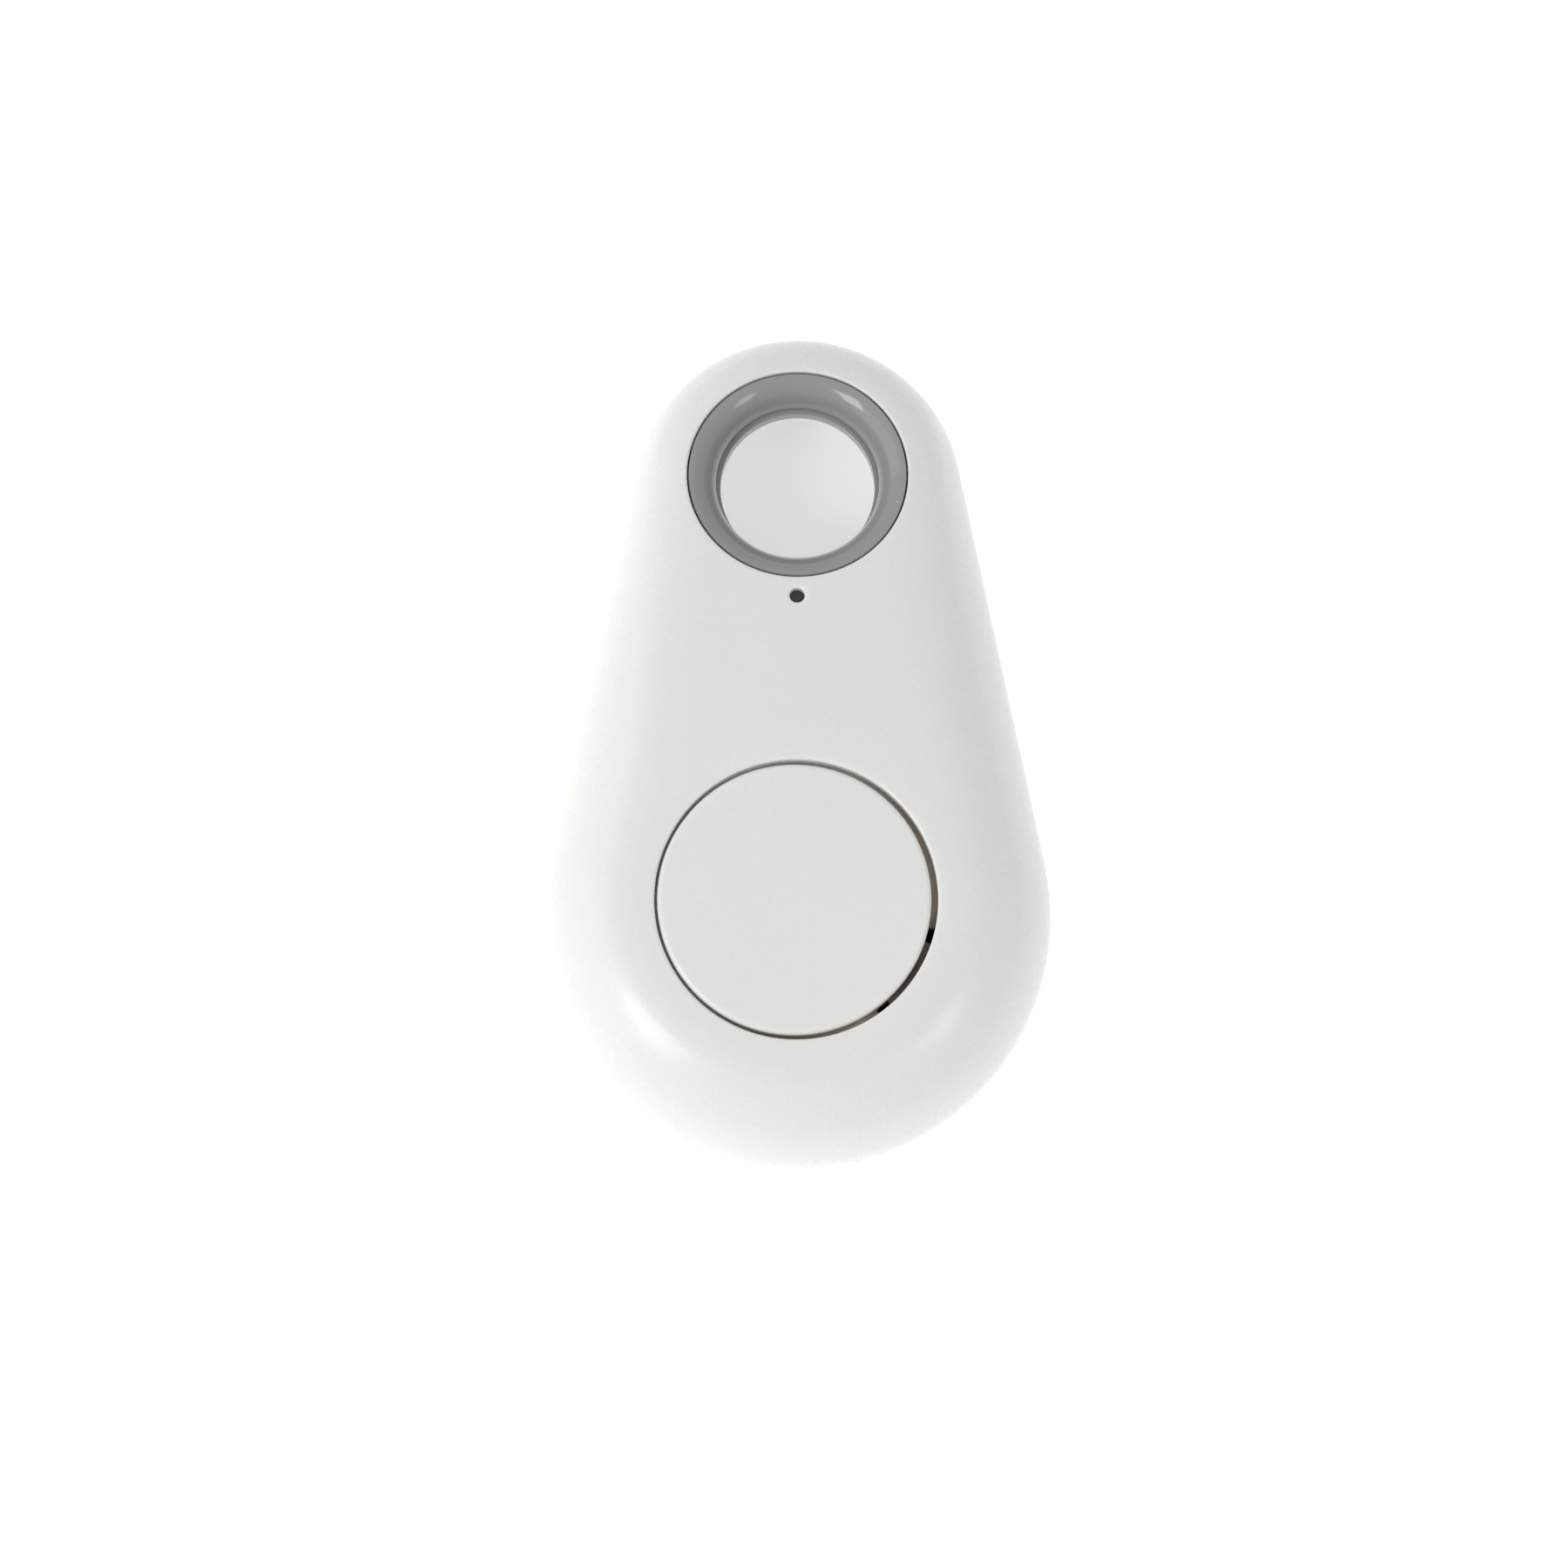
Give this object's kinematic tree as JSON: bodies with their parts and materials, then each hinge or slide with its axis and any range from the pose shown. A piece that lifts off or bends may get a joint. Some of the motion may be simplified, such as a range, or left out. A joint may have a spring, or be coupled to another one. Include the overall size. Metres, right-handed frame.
{
  "type": "bluetooth tracker tag",
  "caption": "Teardrop tracker tag for a key ring: white snap case, lined keyring hole, flush push button, board, buzzer and coin cell inside.",
  "frame": {"origin": "middle of the outline's box on the flat back face", "axes": "+Z leaves the front face, +Y points from the button to the keyring hole, +X is across the width"},
  "size_m": [0.031, 0.052, 0.011],
  "materials": {
    "white_shell": "moulded, polished, satin gloss",
    "white_button": "moulded, fine gloss",
    "grey_lining": "moulded, glossy",
    "smoked_guide": "smoked clear plastic, polished",
    "green_board": "solder mask over glass fibre",
    "copper": "bare or enamelled copper",
    "black_chip": "moulded, matte",
    "ceramic_chip": "fired, matte",
    "black_resistor": "fired, matte",
    "led_resin": "clear resin",
    "plated_steel": "nickel plated",
    "spring_steel": "stainless, bright",
    "screw_steel": "zinc plated",
    "black_moulding": "moulded, matte",
    "magnet": "sintered, coated",
    "cell_steel": "nickel plated, bright",
    "gasket": "moulded seal",
    "pellet": "pressed powder",
    "lithium": "soft metal"
  },
  "bodies": {
    "housing": {"front_shell": "white_shell", "front_eyelet": "grey_lining", "light_guide": "smoked_guide", "circuit_board": "green_board", "antenna_trace": "copper", "bluetooth_chip": "black_chip", "crystal_can": "plated_steel", "chip_inductor": "black_chip", "status_led": "led_resin", "board_screws": "screw_steel", "switch_base": "black_moulding", "switch_cover": "spring_steel", "switch_dome": "spring_steel", "buzzer_case": "black_moulding", "buzzer_diaphragm": "spring_steel", "buzzer_yoke": "plated_steel", "buzzer_magnet": "magnet", "buzzer_coil": "copper", "buzzer_pins": "plated_steel", "battery_clip": "plated_steel", "negative_contact": "spring_steel", "cell_can": "cell_steel", "cell_gasket": "gasket", "cell_cap": "cell_steel", "cell_cathode": "pellet", "cell_anode": "lithium", "chip_capacitor_1": "ceramic_chip", "chip_capacitor_2": "ceramic_chip", "chip_capacitor_3": "ceramic_chip", "chip_capacitor_4": "ceramic_chip", "chip_capacitor_5": "ceramic_chip", "chip_capacitor_6": "ceramic_chip", "chip_resistor_1": "black_resistor", "chip_resistor_2": "black_resistor", "chip_resistor_3": "black_resistor", "chip_resistor_4": "black_resistor"},
    "button": {"button_cap": "white_button"},
    "plunger": {"switch_plunger": "black_moulding"},
    "rear_cover": {"rear_shell": "white_shell", "rear_eyelet": "grey_lining"}
  },
  "joints": [
    {"name": "button_press", "type": "slide", "parent": "housing", "child": "button", "axis": [0, 0, -1], "range_m": [0, 0.0003], "stiffness_N_per_m": 3000, "springref_m": -0.0001},
    {"name": "plunger_press", "type": "slide", "parent": "housing", "child": "plunger", "axis": [0, 0, -1], "range_m": [0, 0.0003], "deforming": ["switch_dome"]},
    {"name": "rear_cover_off", "type": "slide", "parent": "housing", "child": "rear_cover", "axis": [0, 0, -1], "range_m": [0, 0.014]}
  ],
  "couplings": [
    {"joint": "plunger_press", "follows": "button_press", "ratio": 1}
  ]
}
